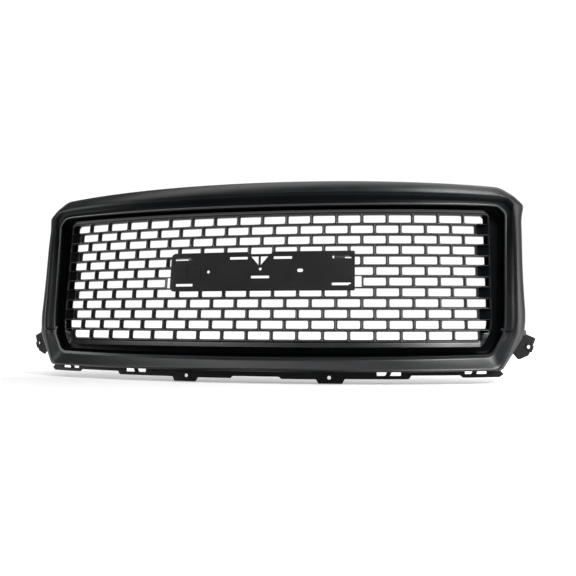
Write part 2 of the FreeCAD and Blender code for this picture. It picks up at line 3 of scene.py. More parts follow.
import bmesh
import bpy
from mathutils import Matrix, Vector


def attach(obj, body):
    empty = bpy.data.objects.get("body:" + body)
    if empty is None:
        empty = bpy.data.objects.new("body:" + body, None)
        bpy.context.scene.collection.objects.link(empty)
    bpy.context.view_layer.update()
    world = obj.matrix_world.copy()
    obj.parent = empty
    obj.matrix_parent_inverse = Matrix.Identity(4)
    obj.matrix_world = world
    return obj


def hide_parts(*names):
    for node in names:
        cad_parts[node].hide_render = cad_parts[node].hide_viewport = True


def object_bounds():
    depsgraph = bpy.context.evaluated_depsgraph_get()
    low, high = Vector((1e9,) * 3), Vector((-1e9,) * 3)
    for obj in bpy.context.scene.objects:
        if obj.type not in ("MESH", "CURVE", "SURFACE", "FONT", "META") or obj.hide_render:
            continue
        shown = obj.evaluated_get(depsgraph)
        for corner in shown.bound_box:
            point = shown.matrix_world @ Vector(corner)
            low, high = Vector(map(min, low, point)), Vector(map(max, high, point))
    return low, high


# Front grille: moulded surround, brick-pattern mesh insert, badge plate, lower rail and fasteners.
# Outlines are in millimetres about the mesh centre; place() takes them into the frame, in metres.

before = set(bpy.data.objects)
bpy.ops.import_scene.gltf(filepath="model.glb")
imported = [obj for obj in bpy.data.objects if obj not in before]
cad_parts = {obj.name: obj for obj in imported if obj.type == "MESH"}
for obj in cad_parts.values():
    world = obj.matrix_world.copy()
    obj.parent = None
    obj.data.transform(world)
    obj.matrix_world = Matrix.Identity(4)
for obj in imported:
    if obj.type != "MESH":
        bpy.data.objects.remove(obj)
CAD_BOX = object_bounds()

MM = 0.001

# ---- driving dimensions, the same as the CAD model's ----------------------------------------------

# Where the mesh centre stands from the origin, and how the whole face is swept and leans.
MESH_Y = 38.24
MESH_Z = 217.0
SWEEP_2 = 2.57e-4
SWEEP_4 = 2.06e-10
LEAN = 0.153

# Mesh pattern.
PITCH_X = 56.0
PITCH_Z = 23.6
ROWS = 12
ODD_ROW_CELLS = 18
CELL_W = 49.0

# Depths of the surround's section and of the rim, from the sweep surface: negative is forwards.
SILHOUETTE_DEPTH = -19.0
CREST_DEPTH = -29.0
LIP_DEPTH = -14.0
FLOOR_DEPTH = 9.0
WALL = 3.0
ROLL_START = 50.0
ROLL_RATE = 6.0e-4
FLARE_START = -130.0
FLARE_RATE = 0.075
RETURN_DEPTH = 26.0
RETURN_LOW = -15.0
RETURN_FADE_TOP = -98.0
RETURN_FADE = 26.0
RIM_FRONT = -13.0
RIM_BACK = 8.7

# Outlines: the right half, as corners (x, z, cut) from the top down. A corner is rounded off from
# "cut" before it to "cut" after it. "crown" raises the top edge and "sag" lowers the bottom edge.
SILHOUETTE = {
    "corners": [(534, 208, 13), (567, 188, 7), (589, 166, 7), (581, 134, 13),
                (576, 10, 60), (578, -101, 30), (571, -131, 14), (519, -203, 8)],
    "crown": 12, "sag": 2,
}
CREST = {
    "corners": [(518, 181, 8), (548, 179, 4), (561, 166, 5), (561, 134, 12),
                (556, 10, 60), (552, -100, 20), (547, -131, 16), (511, -198, 14)],
    "crown": 7, "sag": 3,
}
LIP = {
    "corners": [(508, 160, 8), (527, 158, 6), (541, 144, 6), (541, 128, 8),
                (535, 10, 60), (530, -100, 20), (525, -126, 12), (498, -170, 14)],
    "crown": -1, "sag": 6,
}
RIM = {
    "corners": [(470, 150, 4), (494, 150, 5), (506, 140, 5), (506, 118, 8),
                (505, 10, 60), (503, -100, 12), (499, -122, 8), (477, -154, 6)],
    "crown": 0, "sag": 0,
}
FLOOR_EDGE = {
    "corners": [(468, 141, 4), (486, 141, 4), (494, 134, 4), (494, 116, 8),
                (494, 10, 60), (493, -100, 9), (490, -118, 8), (467, -143, 5)],
    "crown": 0, "sag": 0,
}
# How many points the straight stretches and the rounded corners of an outline get.
TOP_SAMPLES = 30
SIDE_SAMPLES = 14
ARC_SAMPLES = 7


# ---- geometry helpers -----------------------------------------------------------------------------

def sweep(x, z):
    """Return how far the sweep surface lies behind the mesh centre."""
    return SWEEP_2 * x ** 2 + SWEEP_4 * x ** 4 + LEAN * z


def place(x, z, depth):
    """Return the frame point, in metres, at x, z and depth behind the sweep surface."""
    return Vector((x, MESH_Y + sweep(x, z) + depth, MESH_Z + z)) * MM


def face_axis(x):
    """Return the rearward normal of the sweep surface at x."""
    return Vector((-2 * SWEEP_2 * x - 4 * SWEEP_4 * x ** 3, 1, -LEAN)).normalized()


def mix(a, b, t):
    """Return the point a share t of the way from a to b, in any number of dimensions."""
    return tuple(p + (q - p) * t for p, q in zip(a, b))


def curve_point(a, b, c, t):
    """Return a point of the quadratic curve from a to c that b pulls on."""
    return mix(mix(a, b, t), mix(b, c, t), t)


def clamp(value, low=0.0, high=1.0):
    """Return the value kept between low and high."""
    return min(high, max(low, value))


def half_outline(outline):
    """Return the right half of an outline as (x, z) points from top centre to bottom centre."""
    corners = outline["corners"]
    first, last = corners[0], corners[-1]
    knots = [(0, first[1])] + [c[:2] for c in corners] + [(0, last[1])]
    points = [knots[0]]
    for i, (x, z, cut) in enumerate(corners, start=1):
        before, after = knots[i - 1], knots[i + 1]
        start = mix((x, z), before, cut / hypot(x - before[0], z - before[1]))
        stop = mix((x, z), after, cut / hypot(x - after[0], z - after[1]))
        steps = TOP_SAMPLES if i == 1 else SIDE_SAMPLES
        base = points[-1]
        points += [mix(base, start, k / steps) for k in range(1, steps + 1)]
        points += [curve_point(start, (x, z), stop, k / ARC_SAMPLES) for k in range(1, ARC_SAMPLES + 1)]
    base = points[-1]
    points += [mix(base, knots[-1], k / TOP_SAMPLES) for k in range(1, TOP_SAMPLES + 1)]

    def bowed(x, z):
        if z > 0:
            return x, z + outline["crown"] * max(0, 1 - (x / first[0]) ** 2)
        return x, z - outline["sag"] * max(0, 1 - (x / last[0]) ** 2)

    return [bowed(x, z) for x, z in points]


def loop(outline):
    """Return the whole outline, clockwise from the top centre, as (x, z, outward x, outward z)."""
    half = half_outline(outline)
    points = half + [(-x, z) for x, z in half[-2:0:-1]]
    count = len(points)
    result = []
    for i, (x, z) in enumerate(points):
        ax, az = points[i - 1]
        bx, bz = points[(i + 1) % count]
        length = hypot(bx - ax, bz - az)
        result.append((x, z, -(bz - az) / length, (bx - ax) / length))
    return result


def mesh_object(name, vertices, faces, angle=0.6):
    """Return a smooth-shaded mesh object; edges sharper than the angle stay sharp."""
    data = bpy.data.meshes.new(name)
    data.from_pydata([tuple(v) for v in vertices], [], faces)
    data.validate()
    edit = bmesh.new()
    edit.from_mesh(data)
    bmesh.ops.recalc_face_normals(edit, faces=edit.faces)
    edit.to_mesh(data)
    edit.free()
    data.polygons.foreach_set("use_smooth", [True] * len(data.polygons))
    data.set_sharp_from_angle(angle=angle)
    made = bpy.data.objects.new(name, data)
    bpy.context.scene.collection.objects.link(made)
    return made


def grid_faces(rows, columns, start=0):
    """Return the quads of a grid of points that is closed both ways."""
    faces = []
    for i in range(rows):
        for j in range(columns):
            right, down = (i + 1) % rows, (j + 1) % columns
            faces.append((start + i * columns + j, start + i * columns + down,
                          start + right * columns + down, start + right * columns + j))
    return faces


def store_painted_shade_and_gloss(piece, shares):
    """Store the painted shade and gloss at each vertex, for the material to read."""
    piece.data.attributes.new("painted_shade_and_gloss", "FLOAT", "POINT").data.foreach_set("value", shares)


def lathe(vertices, faces, profile, origin, axis, segments=20):
    """Add a closed turned shape: profile holds (radius, distance along the axis) in millimetres."""
    side = axis.orthogonal().normalized()
    other = axis.cross(side)
    start = len(vertices)
    for k in range(segments):
        angle = 2 * pi * k / segments
        arm = side * cos(angle) + other * sin(angle)
        vertices += [origin + (arm * radius + axis * along) * MM for radius, along in profile]
    faces += grid_faces(segments, len(profile), start)


# ---- surround -------------------------------------------------------------------------------------

def roll(z):
    """Return how far the face rolls back towards the top and flares forward at the bottom."""
    return ROLL_RATE * max(0.0, z - ROLL_START) ** 2 - FLARE_RATE * max(0.0, FLARE_START - z)


def return_depth(z):
    """Return the depth of the rear edge of the return flange."""
    low = clamp((RETURN_FADE_TOP - z) / RETURN_FADE)
    return (1 - low) * (SILHOUETTE_DEPTH + roll(z) + RETURN_DEPTH) + low * RETURN_LOW


# The outer face bulges and the cove between crest and lip is hollow, less so along the bottom.
EDGE_ROUND = 3.2
CREST_ROUND = 4.5
OUTER_BOW = 3.4
COVE_BOW = 3.0
COVE_BOW_LOW = 0.8
ROUND_STEPS = 6
FACE_STEPS = 7

# Round bead along the lip, which fades out down the sides, and the groove at its foot.
BEAD_R = 2.5
BEAD_STEPS = 8
BEAD_FADE_TOP = -55.0
BEAD_FADE = 75.0
BEAD_GROOVE = 0.9
BEAD_FOOT_GAP = 0.4

# How far the return flange leans inwards at its rear edge, half-way and at the round front edge.
RETURN_LEAN = 1.5
RETURN_MID_LEAN = 0.8
EDGE_LEAN = 0.2

# The moat from the lip back to its floor: how far outwards of the lip, and the depth.
MOAT_PROFILE = [(-1.0, LIP_DEPTH + 6), (-3.4, FLOOR_DEPTH - 2), (-5.0, FLOOR_DEPTH - 0.4),
                (-7.0, FLOOR_DEPTH)]
# The back of the moat's wall: how far it leans inwards at the floor, and the bevel behind the lip.
MOAT_LEAN = 4.0
LIP_BACK_OFFSET = 3.0
LIP_BACK_ROUND = 2.0


def outwards(station, amount, depth):
    """Return (x, z, depth) at an outline station moved outwards by an amount."""
    x, z, nx, nz = station
    return (x + nx * amount, z + nz * amount, depth)


def bowed_run(a, b, first, last, bow):
    """Return points from share first to share last of a to b, pushed rearwards by up to bow."""
    points = []
    for k in range(FACE_STEPS + 1):
        t = first + (last - first) * k / FACE_STEPS
        x, z, depth = mix(a, b, t)
        points.append((x, z, depth + bow * 4 * t * (1 - t)))
    return points


def rounded(before, corner, after):
    """Return points of a rounded corner, without its two end points."""
    return [curve_point(before, corner, after, k / ROUND_STEPS) for k in range(1, ROUND_STEPS)]


def cove_bow(z):
    """Return how hollow the cove is at a height: less so along the bottom."""
    low = clamp((FLARE_START - z) / RETURN_FADE)
    return COVE_BOW + (COVE_BOW_LOW - COVE_BOW) * low


def surround_section(edge, crest, lip, floor):
    """Return the closed section of the surround at one station, as (x, z, depth) points."""
    edge_depth = SILHOUETTE_DEPTH + roll(edge[1])
    crest_depth = CREST_DEPTH + roll(crest[1])
    rear = return_depth(edge[1])
    bead = clamp((lip[1] - (BEAD_FADE_TOP - BEAD_FADE)) / BEAD_FADE)
    corner = outwards(edge, 0, edge_depth)
    top = outwards(crest, 0, crest_depth)
    foot = outwards(lip, 2 * BEAD_R + BEAD_FOOT_GAP, LIP_DEPTH)
    outer_length = hypot(edge[0] - crest[0], edge[1] - crest[1])
    cove_length = hypot(crest[0] - foot[0], crest[1] - foot[1])
    outer = bowed_run(corner, top, EDGE_ROUND / outer_length, 1 - CREST_ROUND / outer_length, -OUTER_BOW)
    cove = bowed_run(top, foot, CREST_ROUND / cove_length, 1.0, cove_bow(crest[1]))
    side = outwards(edge, -EDGE_LEAN, edge_depth + EDGE_ROUND)
    middle = outwards(edge, -RETURN_MID_LEAN, 0.5 * (rear + edge_depth))
    points = [outwards(edge, -RETURN_LEAN, rear), middle, side]
    points += rounded(side, corner, outer[0])
    points += outer
    points += rounded(outer[-1], top, cove[0])
    points += cove
    points.append(outwards(lip, 2 * BEAD_R, LIP_DEPTH + BEAD_GROOVE * bead))
    for k in range(1, BEAD_STEPS + 1):
        angle = pi * k / BEAD_STEPS
        points.append(outwards(lip, BEAD_R + BEAD_R * cos(angle), LIP_DEPTH - BEAD_R * bead * sin(angle)))
    points += [outwards(lip, amount, depth) for amount, depth in MOAT_PROFILE]
    points += [outwards(floor, 0, FLOOR_DEPTH), outwards(floor, 0, FLOOR_DEPTH + WALL)]
    points += [outwards(lip, WALL - MOAT_LEAN, FLOOR_DEPTH + WALL),
               outwards(lip, WALL, LIP_DEPTH + WALL + LIP_BACK_ROUND)]
    back_foot = outwards(lip, WALL + LIP_BACK_OFFSET, LIP_DEPTH + WALL)
    back_top = outwards(crest, 0, crest_depth + WALL)
    points += bowed_run(back_foot, back_top, 0.0, 1.0, cove_bow(crest[1]))
    points += [outwards(edge, -WALL, edge_depth + WALL), outwards(edge, -RETURN_LEAN - WALL, rear)]
    return points


# Where the outer face, the cove, the bead and the moat start in a section's list of points.
OUTER_START = 3 + ROUND_STEPS - 1
COVE_START = OUTER_START + FACE_STEPS + ROUND_STEPS
BEAD_START = COVE_START + FACE_STEPS + 1
MOAT_START = BEAD_START + BEAD_STEPS + 1
MOAT_END = MOAT_START + len(MOAT_PROFILE) + 1
# The painted shade on the outer face near the crest and on the cove fades in between these heights, and
# so does the painted gloss on the bead. The moat has full painted shade all round.
PAINTED_SHADE_LOW = -60.0
PAINTED_SHADE_HIGH = 90.0
CREST_PAINTED_SHADE = 0.85


def painted_shade_and_gloss_shares(section):
    """Return the painted shade at each point of a section, from -1, painted gloss, to 1, full painted
    shade.
    """
    shares = [0.0] * len(section)
    heights = [clamp((z - PAINTED_SHADE_LOW) / (PAINTED_SHADE_HIGH - PAINTED_SHADE_LOW)) for _, z, _ in section]
    for i in range(OUTER_START, COVE_START):
        shares[i] = CREST_PAINTED_SHADE * heights[i] * (i - OUTER_START) / (COVE_START - OUTER_START)
    for i in range(COVE_START, BEAD_START):
        shares[i] = heights[i]
    for i in range(BEAD_START, MOAT_START):
        shares[i] = -heights[i]
    for i in range(MOAT_START, MOAT_END):
        shares[i] = 1.0
    return shares


# Bosses behind the top for the upper brackets' screws: profile as (radius, distance along the axis).
BRACKET_SCREWS = [(x + side * 14.0, 173.0) for x in (-330.0, 0.0, 330.0) for side in (-1, 1)]
UPPER_SEAT = 16.0
BOSS_GAP = 0.2
BOSS_PROFILE = [(2.0, 0.0), (4.4, 0.0), (4.6, -0.3), (4.9, -22.0), (2.0, -22.0)]

# Ribs behind the face: first station and spacing, and how far they keep off the front surface.
HALF_WALL = 0.5 * WALL
RIB_THICKNESS = 1.6
RIB_FIRST = 4
RIB_EVERY = 9
RIB_SINK = 3.0
RIB_LOWEST = 0.0
RIB_FOOT_DEPTH = 2.0
RIB_REACH = 12.0
SMOOTH_ANGLE = 1.3


def back_ribs(vertices, faces, stations):
    """Add thin gussets in the hollow behind the face, at every few stations."""
    for i in range(RIB_FIRST, len(stations), RIB_EVERY):
        edge, crest, lip, _ = stations[i]
        if edge[1] < RIB_LOWEST:
            continue
        tangent = Vector((-edge[3], 0, edge[2]))
        half = tangent * (0.5 * RIB_THICKNESS * MM)
        edge_depth = SILHOUETTE_DEPTH + roll(edge[1])
        crest_depth = CREST_DEPTH + roll(crest[1])
        top = outwards(crest, 0, crest_depth + RIB_SINK)
        foot = outwards(lip, HALF_WALL, LIP_DEPTH + RIB_SINK)
        profile = [outwards(edge, -RIB_SINK, edge_depth + RIB_SINK)]
        profile += bowed_run(top, foot, 0.0, 1.0, COVE_BOW)
        profile.append(outwards(lip, 0, RIB_FOOT_DEPTH))
        profile.append(outwards(edge, -HALF_WALL - RETURN_LEAN, edge_depth + RIB_REACH))
        start = len(vertices)
        size = len(profile)
        for shift in (-half, half):
            vertices += [place(*p) + shift for p in profile]
        faces.append(tuple(range(start, start + size)))
        faces.append(tuple(range(start + 2 * size - 1, start + size - 1, -1)))
        faces += [(start + k, start + (k + 1) % size, start + size + (k + 1) % size, start + size + k)
                  for k in range(size)]


def build_surround():
    """Return the moulded surround as one closed ring with ribs and screw bosses behind it."""
    stations = list(zip(loop(SILHOUETTE), loop(CREST), loop(LIP), loop(FLOOR_EDGE)))
    sections = [surround_section(*s) for s in stations]
    vertices = [place(*p) for section in sections for p in section]
    faces = grid_faces(len(sections), len(sections[0]))
    back_ribs(vertices, faces, stations)
    for x, z in BRACKET_SCREWS:
        lathe(vertices, faces, BOSS_PROFILE, place(x, z, UPPER_SEAT - BOSS_GAP), face_axis(x))
    made = mesh_object("surround", vertices, faces, angle=SMOOTH_ANGLE)
    # Painted shade in the cove, the moat and near the top crest; painted gloss on the lip bead.
    painted_shade_and_gloss = [share for section in sections for share in painted_shade_and_gloss_shares(section)]
    painted_shade_and_gloss += [0.0] * (len(vertices) - len(painted_shade_and_gloss))
    store_painted_shade_and_gloss(made, painted_shade_and_gloss)
    return made


# ---- mesh insert ----------------------------------------------------------------------------------

# Each cell is a tile with a raised ridge along its border and walls that narrow towards the back.
RIDGE_DEPTH = -7.5
BACK_DEPTH = 7.0
OPEN_HALF_W = 24.0
OPEN_HALF_H = 8.2
# Points along a tile's border: distances from its middle, and shares of its half height.
BORDER_STEPS = [0.0, 1.2, 3.0, 6.0, 10.0, 14.0, 18.0, 22.0, 25.0, 26.8]
SIDE_STEPS = [-1.0, -0.9, -0.76, -0.5, 0.0, 0.5, 0.76, 0.9]
# Corner radius and middle of the last cell of a long row, and the gap between its tile and the rim.
END_ROUND = 5.0
END_CELL_X = 0.5 * (ODD_ROW_CELLS - 1) * PITCH_X
END_GAP = 0.5
TILE_TOP = 0.5 * ROWS * PITCH_Z
# Opening behind the badge plate. One row leaves out a cell more on each side.
WINDOW_HALF_W = 192.5
WINDOW_SPARE = 4.0
WINDOW_BOTTOM = -20.1
WINDOW_TOP = 43.7
WIDE_WINDOW_ROW = 7


def rim_half_width(z):
    """Return half the rim's outer width at a height about the mesh centre."""
    corners = RIM["corners"]
    for (ax, az, _), (bx, bz, _) in zip(corners[1:], corners[2:]):
        if bz <= z <= az:
            return ax + (bx - ax) * (az - z) / (az - bz)
    return corners[1][0] if z > 0 else corners[-1][0]


def fitted(x, z):
    """Return x with the end of a long row squeezed to stay inside the rim."""
    past = abs(x) - END_CELL_X
    if past <= 0:
        return x
    room = rim_half_width(z) - END_GAP - END_CELL_X
    return (END_CELL_X + past * room / (0.5 * PITCH_X)) * (1 if x > 0 else -1)


def row_centre(row):
    """Return the height of a row's centre about the mesh centre; row 1 is the top one."""
    return (0.5 * (ROWS + 1) - row) * PITCH_Z


def cell_centres():
    """Return (x, z) of every cell that isn't left out in the window behind the badge plate."""
    centres = []
    for row in range(1, ROWS + 1):
        z = row_centre(row)
        count = ODD_ROW_CELLS if row % 2 else ODD_ROW_CELLS - 1
        for k in range(count):
            x = (k - 0.5 * (count - 1)) * PITCH_X
            reach = 0.0 if row == WIDE_WINDOW_ROW else 0.5 * CELL_W
            hidden = abs(x) + reach < WINDOW_HALF_W + WINDOW_SPARE and WINDOW_BOTTOM < z < WINDOW_TOP
            if not hidden:
                centres.append((x, z))
    return centres


def border_offsets():
    """Return the tile border, clockwise from its top left corner, as (x, z) shares of its half size."""
    half = 0.5 * PITCH_X
    across = [-half + s for s in BORDER_STEPS] + list(BORDER_STEPS)
    across = [a / half for a in across]
    top = [(a, 1.0) for a in across]
    right = [(1.0, -s) for s in SIDE_STEPS]
    bottom = [(-a, -1.0) for a in across]
    left = [(-1.0, s) for s in SIDE_STEPS]
    return top + right + bottom + left


# Rings from the ridge to the back: half width, half height, corner radius, depth, downward bow.
CELL_RINGS = [(27.3, 11.2, 2.4, RIDGE_DEPTH + 0.3, 0.0), (25.9, 9.9, 2.8, RIDGE_DEPTH + 2.1, 0.5),
              (25.2, 9.2, 3.0, RIDGE_DEPTH + 4.5, 0.6), (24.5, 8.6, 2.4, 1.5, 0.2),
              (OPEN_HALF_W, OPEN_HALF_H, 2.0, BACK_DEPTH - 0.6, 0.0), (24.6, 8.8, 2.4, BACK_DEPTH, 0.0)]


def on_rounded(u, w, half_w, half_h, radius):
    """Return the point of a rounded rectangle that goes with a point u, w of the unit square's edge."""
    x, z = u * half_w, w * half_h
    cx, cz = half_w - radius, half_h - radius
    if abs(x) <= cx or abs(z) <= cz:
        return x, z
    dx, dz = abs(x) - cx, abs(z) - cz
    scale = radius / hypot(dx, dz)
    return (cx + dx * scale) * (1 if x > 0 else -1), (cz + dz * scale) * (1 if z > 0 else -1)


def tile_border(cx, cz, offsets):
    """Return a tile's border as (x, z) points; the outer corners of an end tile are rounded."""
    half_w, half_h = 0.5 * PITCH_X, 0.5 * PITCH_Z
    points = []
    for u, w in offsets:
        x, z = u * half_w, w * half_h
        if abs(cx) >= END_CELL_X - 1 and x * cx > 0:
            x, z = on_rounded(u, w, half_w, half_h, END_ROUND)
        points.append((fitted(cx + x, cz + z), cz + z))
    return points


def build_mesh_tiles(vertices, faces):
    """Add the brick pattern: one tile for each cell, joined along shared borders, walled at its rim."""
    offsets = border_offsets()
    size = len(offsets)
    shared = {}
    edges = {}

    def border_vertex(x, z, depth):
        key = (round(x, 1), round(z, 1), depth)
        if key not in shared:
            shared[key] = len(vertices)
            vertices.append(place(x, z, depth))
        return shared[key]

    for cx, cz in cell_centres():
        border = tile_border(cx, cz, offsets)
        rings = [[border_vertex(x, z, RIDGE_DEPTH) for x, z in border]]
        for half_w, half_h, radius, depth, bow in CELL_RINGS:
            ring = []
            for u, w in offsets:
                x, z = on_rounded(u, w, half_w, half_h, radius)
                if w < 0:
                    z -= bow * max(0.0, 1 - (x / half_w) ** 2)
                ring.append(len(vertices))
                vertices.append(place(fitted(cx + x, cz + z), cz + z, depth))
            rings.append(ring)
        rings.append([border_vertex(x, z, BACK_DEPTH) for x, z in border])
        for near, far in zip(rings, rings[1:]):
            for k in range(size):
                j = (k + 1) % size
                faces.append((near[k], near[j], far[j], far[k]))
        for k in range(size):
            j = (k + 1) % size
            edge = (rings[0][k], rings[0][j])
            alone = frozenset(edge) not in edges
            edges[frozenset(edge)] = (edge, (rings[-1][k], rings[-1][j]), alone)
    for (a, b), (c, d), alone in edges.values():
        if alone:
            faces.append((b, a, c, d))


# Where a web begins above and below a row's centre, and the half width of the step there.
WEB_START = 8.8
STEP_GAP = 0.02
# How near the rim's edge the last opening of a long row ends, and where the top corner tiles end.
OPENING_EDGE = 2.2
TOP_REACH = 26.0


def row_at(z):
    """Return the number of the mesh row at a height, and how far the height is from its centre."""
    row = int((TILE_TOP - z) // PITCH_Z) + 1
    return row, abs(z - row_centre(row))


def shelf_inner(x, z):
    """Return the (x, z) where the rim meets the tiles, for a point on the rim's outline."""
    side = 1 if x > 0 else -1
    if abs(z) >= TILE_TOP:
        reach = END_CELL_X + TOP_REACH if z > 0 else END_CELL_X
        return (side * min(abs(x), reach), TILE_TOP if z > 0 else -TILE_TOP)
    row, off = row_at(z)
    beside_opening = row % 2 and off < WEB_START
    reach = abs(x) - OPENING_EDGE if beside_opening else END_CELL_X
    return (side * min(abs(x), reach), z)


# Beside a short row's end the rim slopes down into a pocket.
POCKET_DEPTH = 2.0
POCKET_SLOPE = 21.0
# Elsewhere it slopes to the shelf's foot, or nearly to the ridges where it is narrow.
SHELF_FOOT = -4.5
NARROW_SHELF = 5.0
NARROW_FOOT = RIDGE_DEPTH + 1.0
SHELF_SHARES = [0.0, 0.04, 0.12, 0.3, 0.5, 0.7, 0.78, 0.9, 1.0]
SHELF_ROUND = 0.4
# Depth of the rim's front edge at the sides and the top, and where it changes.
SIDE_RIM_FRONT = -6.6
TOP_RIM_FRONT = -9.5
RIM_DROP_START = -116.0
RIM_DROP = 26.0
RIM_RISE_START = 118.0
RIM_RISE = 24.0
# The rim tucks in under the tiles.
RIM_EDGE = 0.8
TUCK = 0.8
TUCK_DEPTH = 1.6
TUCK_BACK = BACK_DEPTH - 0.3


def rim_front(z):
    """Return the depth of the rim's front edge: level with the ridges at the sides, proud below."""
    low = clamp((RIM_DROP_START - z) / RIM_DROP)
    high = clamp((z - RIM_RISE_START) / RIM_RISE)
    return SIDE_RIM_FRONT + (RIM_FRONT - SIDE_RIM_FRONT) * low + (TOP_RIM_FRONT - SIDE_RIM_FRONT) * high


def shelf_depth(front, distance, length):
    """Return the rim's front depth at a distance in from its outer edge."""
    if length > POCKET_SLOPE:
        return min(POCKET_DEPTH, front + (POCKET_DEPTH - front) * distance / POCKET_SLOPE)
    foot = SHELF_FOOT if length > NARROW_SHELF else NARROW_FOOT
    return front + (foot - front) * distance / length


def rim_stations():
    """Return the rim's outline with extra stations where the webs of the long rows begin and end."""
    marks = []
    for row in range(1, ROWS + 1, 2):
        centre = row_centre(row)
        for side in (-1, 1):
            marks += [centre + side * (WEB_START - STEP_GAP), centre + side * (WEB_START + STEP_GAP)]
    points = [p[:2] for p in loop(RIM)]
    full = []
    for (ax, az), (bx, bz) in zip(points, points[1:] + points[:1]):
        full.append((ax, az))
        inside = [m for m in marks if min(az, bz) < m < max(az, bz)]
        for mark in sorted(inside, reverse=az > bz):
            full.append(mix((ax, az), (bx, bz), (mark - az) / (bz - az)))
    return full


def build_rim(vertices, faces):
    """Add the rim: a sloped shelf from the tiles forward to a sharp edge, and the wall behind it."""
    start = len(vertices)
    stations = rim_stations()
    for x, z in stations:
        qx, qz = shelf_inner(x, z)
        length = max(0.5, hypot(x - qx, z - qz))
        inward = ((qx - x) / length, (qz - z) / length)
        front = rim_front(z)
        section = [(x, z, RIM_BACK), (x, z, front + RIM_EDGE)]
        for share in SHELF_SHARES:
            px, pz = mix((x, z), (qx, qz), max(share, SHELF_ROUND / length))
            section.append((px, pz, shelf_depth(front, share * length, length)))
        tx, tz = qx + inward[0] * TUCK, qz + inward[1] * TUCK
        section.append((tx, tz, max(section[-1][2], RIDGE_DEPTH + TUCK_DEPTH)))
        section.append((tx, tz, TUCK_BACK))
        section.append((qx, qz, TUCK_BACK))
        section.append((*mix((qx, qz), (x, z), 0.5), RIM_BACK))
        vertices += [place(*p) for p in section]
        size = len(section)
    faces += grid_faces(len(stations), size, start)


# The ridges get painted gloss down to this depth below them, and the cell walls painted shade from the
# end of the ramp on.
PAINTED_GLOSS_BAND = 0.3
PAINTED_SHADE_RAMP = 2.0
MESH_SMOOTH_ANGLE = 0.75


def ridge_gloss_wall_shade(vertex):
    """Return the painted shade and gloss of the mesh at a vertex: gloss on its ridges, shade on its cell
    walls.
    """
    x, y, z = vertex / MM
    below = y - MESH_Y - sweep(x, z - MESH_Z) - RIDGE_DEPTH
    if below < -PAINTED_GLOSS_BAND:
        return 0.0
    return 2 * clamp((below - PAINTED_GLOSS_BAND) / PAINTED_SHADE_RAMP) - 1


def build_mesh_insert():
    """Return the mesh insert as one object."""
    vertices, faces = [], []
    build_mesh_tiles(vertices, faces)
    build_rim(vertices, faces)
    made = mesh_object("mesh_grid", vertices, faces, angle=MESH_SMOOTH_ANGLE)
    # Painted gloss on the ridges, painted shade on the cell walls.
    store_painted_shade_and_gloss(made, [ridge_gloss_wall_shade(v) for v in vertices])
    return made


# ---- flat parts: plates cut from an outline, then bent to the sweep --------------------------------

def rounded_rectangle(x, z, width, height, corner, steps=4):
    """Return a rounded rectangle as (x, z) points."""
    points = []
    for k, (sx, sz) in enumerate(((1, 1), (-1, 1), (-1, -1), (1, -1))):
        cx = x + sx * (0.5 * width - corner)
        cz = z + sz * (0.5 * height - corner)
        for step in range(steps + 1):
            angle = 0.5 * pi * (k + step / steps)
            points.append((cx + corner * cos(angle), cz + corner * sin(angle)))
    return points


def circle(x, z, radius, steps=20):
    """Return a circle as (x, z) points."""
    return [(x + radius * cos(2 * pi * k / steps), z + radius * sin(2 * pi * k / steps))
            for k in range(steps)]


def plate(name, outlines, front, thickness, bevel=0.5, cut_every=26.0):
    """Return a plate with softened edges: the first outline is its edge, the others are openings."""
    flat = bpy.data.curves.new(name + "_flat", "CURVE")
    flat.dimensions = "2D"
    flat.fill_mode = "BOTH"
    flat.extrude = (0.5 * thickness - bevel) * MM
    flat.bevel_depth = bevel * MM
    flat.bevel_resolution = 2
    flat.offset = -bevel * MM
    for outline in outlines:
        spline = flat.splines.new("POLY")
        spline.points.add(len(outline) - 1)
        spline.use_cyclic_u = True
        for item, (x, z) in zip(spline.points, outline):
            item.co = (x * MM, z * MM, 0, 1)
    holder = bpy.data.objects.new(name + "_flat", flat)
    data = bpy.data.meshes.new_from_object(holder)
    bpy.data.objects.remove(holder)
    edit = bmesh.new()
    edit.from_mesh(data)
    bmesh.ops.remove_doubles(edit, verts=edit.verts, dist=0.01 * MM)
    left = min(v.co.x for v in edit.verts)
    right = max(v.co.x for v in edit.verts)
    cuts = int((right - left) / (cut_every * MM))
    for k in range(1, cuts + 1):
        at = left + (right - left) * k / (cuts + 1)
        everything = edit.verts[:] + edit.edges[:] + edit.faces[:]
        bmesh.ops.bisect_plane(edit, geom=everything, plane_co=(at, 0, 0), plane_no=(1, 0, 0), dist=1e-7)
    for v in edit.verts:
        depth = front + 0.5 * thickness - v.co.z / MM
        v.co = place(v.co.x / MM, v.co.y / MM, depth)
    bmesh.ops.recalc_face_normals(edit, faces=edit.faces)
    edit.to_mesh(data)
    edit.free()
    data.name = name
    data.polygons.foreach_set("use_smooth", [True] * len(data.polygons))
    data.set_sharp_from_angle(angle=0.5)
    made = bpy.data.objects.new(name, data)
    bpy.context.scene.collection.objects.link(made)
    return made


def joined(name, pieces):
    """Return several mesh objects joined into the first one."""
    edit = bmesh.new()
    for piece in pieces:
        edit.from_mesh(piece.data)
    first = pieces[0]
    edit.to_mesh(first.data)
    edit.free()
    for piece in pieces[1:]:
        bpy.data.objects.remove(piece)
    first.name = name
    first.data.name = name
    return first


# ---- badge plate ----------------------------------------------------------------------------------

BADGE_FRONT = -13.0
BADGE_T = 3.0
BADGE_LEFT = -210.0
BADGE_RIGHT = 210.0
BADGE_BOTTOM = -32.0
BADGE_TOP = 56.0
BADGE_SCREWS = [(side * 200.0, z) for side in (-1, 1) for z in (-23.5, 47.3)]
